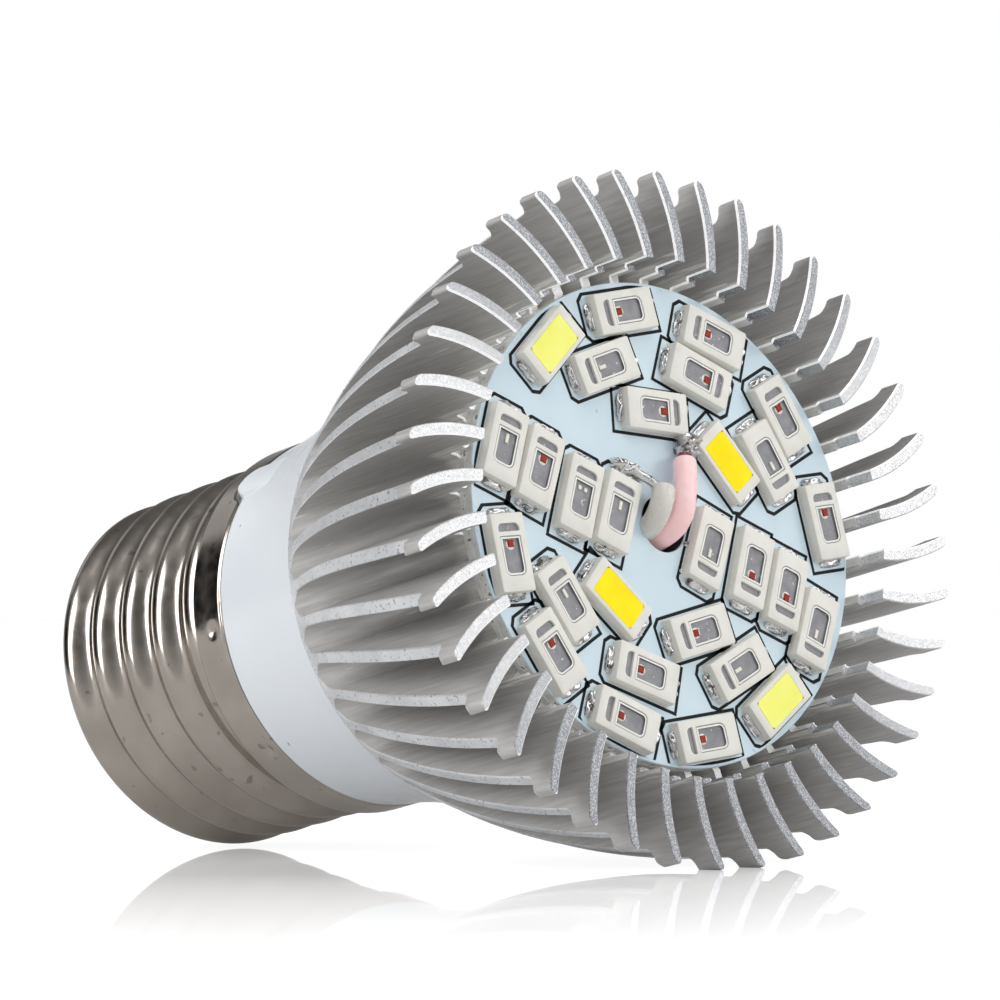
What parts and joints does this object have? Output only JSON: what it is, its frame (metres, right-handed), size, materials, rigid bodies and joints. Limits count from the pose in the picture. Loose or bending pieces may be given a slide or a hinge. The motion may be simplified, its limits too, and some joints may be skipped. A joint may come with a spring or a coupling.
{
  "type": "grow light bulb",
  "caption": "Screw-in grow light bulb: a turned heat sink with curved fins round a white board of surface-mount emitters, on a flared white collar and a metal screw cap.",
  "frame": {"origin": "centre of the screw cap's open rim, on the bulb's axis", "axes": "+Z along the bulb's axis towards the light, the board facing +Z and the cap below; +X and +Y in the plane of the rim"},
  "size_m": [0.0482, 0.0482, 0.0616],
  "materials": {
    "aluminium_turned": "extruded and turned, satin",
    "nickel_plate": "formed brass, nickel plated",
    "glass_white": "dark insulating glass",
    "contact_metal": "tinned, slightly worn",
    "collar_white": "moulded, glossy",
    "board_white": "white solder mask over aluminium, semi-gloss",
    "led_housing": "moulded, satin",
    "solder": "tin, shiny",
    "red_chip": "crystal, glossy",
    "blue_chip": "crystal, glossy",
    "golden_phosphor": "silicone fill, satin",
    "lemon_phosphor": "silicone fill, satin",
    "lead_pink": "soft insulation, satin",
    "lead_white": "soft insulation, satin",
    "driver_laminate": "paper laminate, matt",
    "component_black": "moulded, satin",
    "capacitor_sleeve": "shrink sleeve",
    "transformer_tape": "polyester tape over ferrite",
    "wire_red": "soft insulation",
    "wire_black": "soft insulation"
  },
  "bodies": {
    "root": {"blue_chips": "blue_chip", "bridge_rectifier": "component_black", "bulk_capacitor": "capacitor_sleeve", "cap_insulator": "glass_white", "centre_contact": "contact_metal", "collar": "collar_white", "contact_wire": "wire_red", "control_chip": "component_black", "driver_board": "driver_laminate", "fuse_resistor": "component_black", "golden_phosphor": "golden_phosphor", "heat_sink": "aluminium_turned", "lead_pink": "lead_pink", "lead_white": "lead_white", "led_01": "led_housing", "led_02": "led_housing", "led_03": "led_housing", "led_04": "led_housing", "led_05": "led_housing", "led_06": "led_housing", "led_07": "led_housing", "led_08": "led_housing", "led_09": "led_housing", "led_10": "led_housing", "led_11": "led_housing", "led_12": "led_housing", "led_13": "led_housing", "led_14": "led_housing", "led_15": "led_housing", "led_16": "led_housing", "led_17": "led_housing", "led_18": "led_housing", "led_19": "led_housing", "led_20": "led_housing", "led_21": "led_housing", "led_22": "led_housing", "led_23": "led_housing", "led_24": "led_housing", "led_25": "led_housing", "led_26": "led_housing", "led_27": "led_housing", "led_28": "led_housing", "led_board": "board_white", "led_terminals": "solder", "lemon_phosphor": "lemon_phosphor", "red_chips": "red_chip", "screw_shell": "nickel_plate", "shell_wire": "wire_black", "solder_joints": "solder", "transformer": "transformer_tape"}
  },
  "joints": []
}
